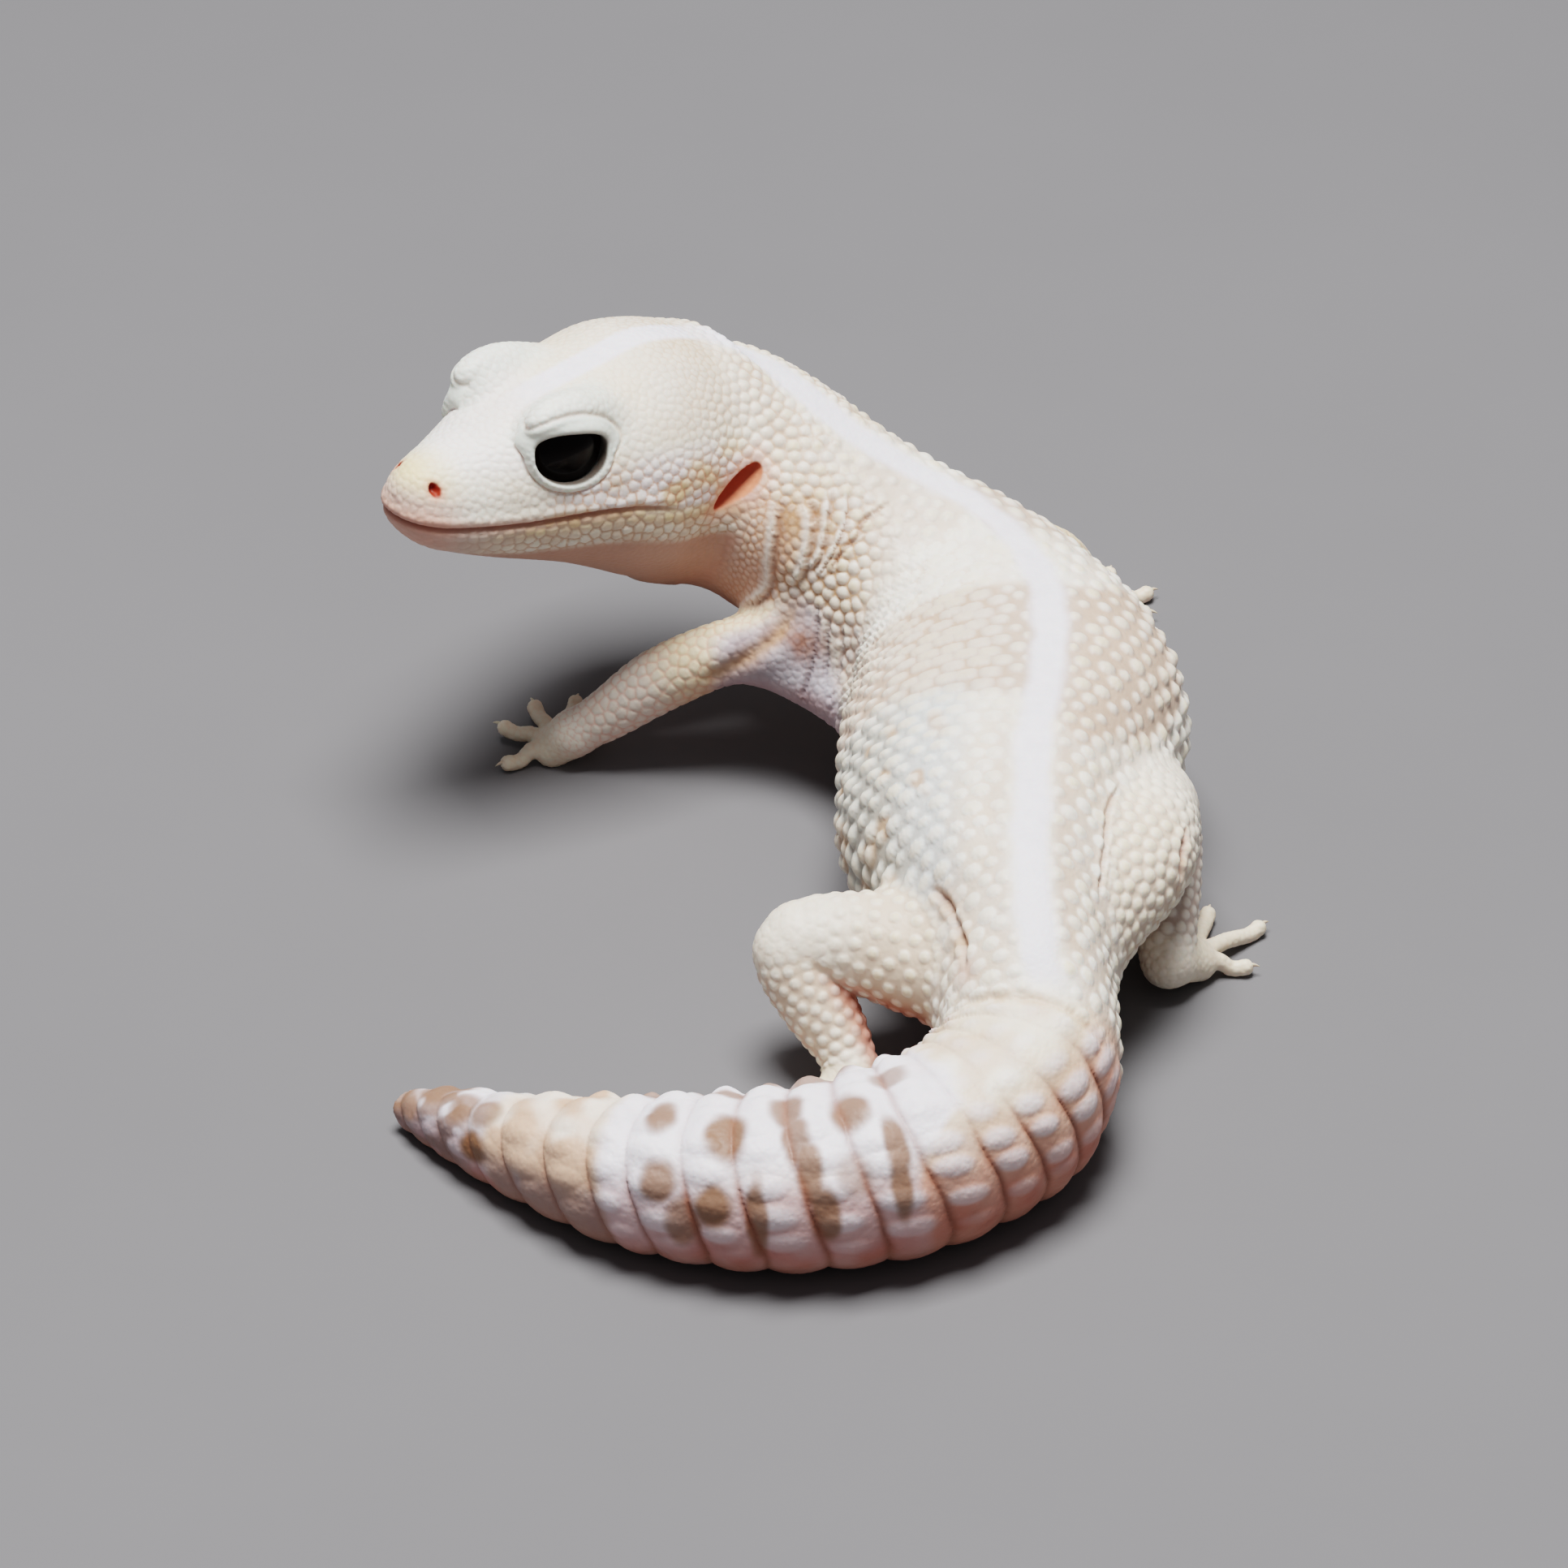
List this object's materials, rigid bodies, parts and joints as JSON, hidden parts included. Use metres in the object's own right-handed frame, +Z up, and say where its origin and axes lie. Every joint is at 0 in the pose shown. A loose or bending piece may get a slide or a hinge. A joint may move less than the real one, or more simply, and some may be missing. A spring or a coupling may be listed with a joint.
{
  "type": "leopard gecko",
  "caption": "Leopard gecko standing with its head turned back over its left shoulder and its fat ringed tail curled to the left, a still life-size model.",
  "frame": {"origin": "centre of the footprint's bounding box, on the floor", "axes": "+Z up, +Y forward along the trunk, +X to the animal's right"},
  "size_m": [0.0592, 0.0808, 0.031],
  "materials": {
    "skin_head": "smooth scaled skin, creamy white",
    "skin_body": "granular skin with raised round scales, cream and tan",
    "skin_tail": "ringed scaled skin, white and pale pink with tan spots",
    "eye": "wet glossy black"
  },
  "bodies": {
    "root": {"head": "skin_head", "lower_jaw": "skin_head", "eye_left": "eye", "eye_right": "eye", "neck": "skin_body", "chest": "skin_body", "belly": "skin_body", "hips": "skin_body", "tail_root": "skin_tail", "tail_middle": "skin_tail", "tail_tip": "skin_tail", "arm_left_upper": "skin_body", "arm_left_lower": "skin_body", "hand_left": "skin_body", "arm_right_upper": "skin_body", "arm_right_lower": "skin_body", "hand_right": "skin_body", "leg_left_upper": "skin_body", "leg_left_lower": "skin_body", "foot_left": "skin_body", "leg_right_upper": "skin_body", "leg_right_lower": "skin_body", "foot_right": "skin_body"}
  },
  "joints": []
}
